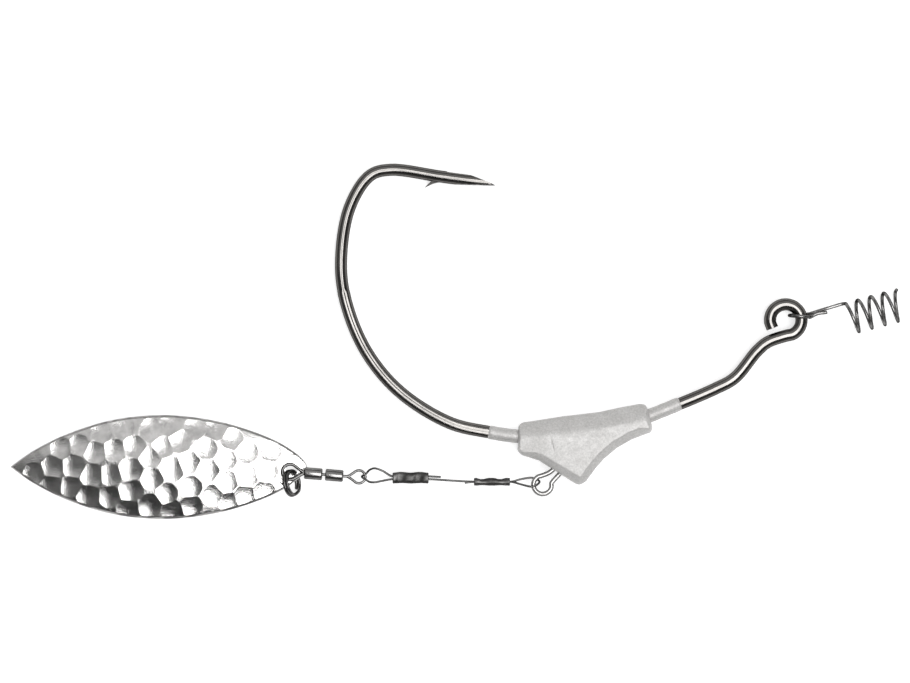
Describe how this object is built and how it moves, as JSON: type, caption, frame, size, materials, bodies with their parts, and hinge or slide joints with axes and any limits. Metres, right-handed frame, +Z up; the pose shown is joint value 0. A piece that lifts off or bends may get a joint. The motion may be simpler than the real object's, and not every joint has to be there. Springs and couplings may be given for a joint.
{
  "type": "underspin swimbait hook",
  "caption": "Wide-gap keel-weighted fishing hook with a screw lock on its eye and a hammered willow-leaf spinner blade on a swivelled cable leader.",
  "frame": {"origin": "bottom centre of the whole lure's box as it lies on its side on a table", "axes": "+X from the blade's tip towards the screw lock, +Y from the keel weight towards the hook's point, +Z up from the table"},
  "size_m": [0.1604, 0.064, 0.0074],
  "materials": {
    "black_nickel": "black nickel, glossy",
    "pearl_paint": "satin pearl-white paint over cast lead",
    "hanger_paint": "light silver paint over steel wire",
    "leader_steel": "stranded steel cable",
    "crimp_black": "dark oxide crimp sleeve",
    "swivel_wire": "polished stainless wire",
    "swivel_barrel": "bright turned barrel",
    "ring_steel": "polished spring steel",
    "hammered_nickel": "polished nickel plate over hammered sheet",
    "lock_steel": "spring wire, satin"
  },
  "bodies": {
    "hook": {"hook": "black_nickel", "keel_weight": "pearl_paint", "weight_hanger": "hanger_paint"},
    "screw_lock": {"screw_lock": "lock_steel"},
    "leader": {"leader_cable": "leader_steel", "front_crimp_sleeve": "crimp_black", "rear_crimp_sleeve": "crimp_black"},
    "front_eye": {"swivel_front_eye": "swivel_wire"},
    "front_barrel": {"swivel_front_barrel": "swivel_barrel"},
    "center_pin": {"swivel_center_pin": "swivel_wire"},
    "rear_barrel": {"swivel_rear_barrel": "swivel_barrel"},
    "rear_eye": {"swivel_rear_eye": "swivel_wire"},
    "split_ring": {"split_ring": "ring_steel"},
    "blade": {"blade": "hammered_nickel"}
  },
  "joints": [
    {"name": "screw_lock_swing", "type": "hinge", "parent": "hook", "child": "screw_lock", "pos_m": [0.05965, 0.00386, 0.00291], "axis": [-0.0082, 0.0458, 0.9989], "range_deg": [-50, 150]},
    {"name": "leader_swing", "type": "hinge", "parent": "hook", "child": "leader", "pos_m": [0.01585, -0.02576, 0.00391], "axis": [-0.0082, 0.0458, 0.9989], "range_deg": [-15, 110]},
    {"name": "front_eye_swing", "type": "hinge", "parent": "leader", "child": "front_eye", "pos_m": [-0.01605, -0.02444, 0.00312], "axis": [0.0802, 0.9968, 0], "range_deg": [-48, 80]},
    {"name": "front_barrel_spin", "type": "hinge", "parent": "front_eye", "child": "front_barrel", "pos_m": [-0.02153, -0.0241, 0.00312], "axis": [0.9968, -0.0802, 0], "continuous": true},
    {"name": "center_pin_spin", "type": "hinge", "parent": "front_barrel", "child": "center_pin", "pos_m": [-0.02352, -0.02394, 0.00312], "axis": [0.9968, -0.0802, 0], "continuous": true},
    {"name": "rear_barrel_spin", "type": "hinge", "parent": "center_pin", "child": "rear_barrel", "pos_m": [-0.02551, -0.02378, 0.00312], "axis": [0.9968, -0.0802, 0], "continuous": true},
    {"name": "rear_eye_spin", "type": "hinge", "parent": "rear_barrel", "child": "rear_eye", "pos_m": [-0.02751, -0.02362, 0.00312], "axis": [0.9968, -0.0802, 0], "continuous": true},
    {"name": "ring_swing", "type": "hinge", "parent": "rear_eye", "child": "split_ring", "pos_m": [-0.03035, -0.02462, 0.00312], "axis": [-0.8191, 0.5736, 0], "range_deg": [0, 80]},
    {"name": "blade_swing", "type": "hinge", "parent": "split_ring", "child": "blade", "pos_m": [-0.02942, -0.02334, 0.00197], "axis": [0, 0, 1], "range_deg": [-25, 25]}
  ]
}
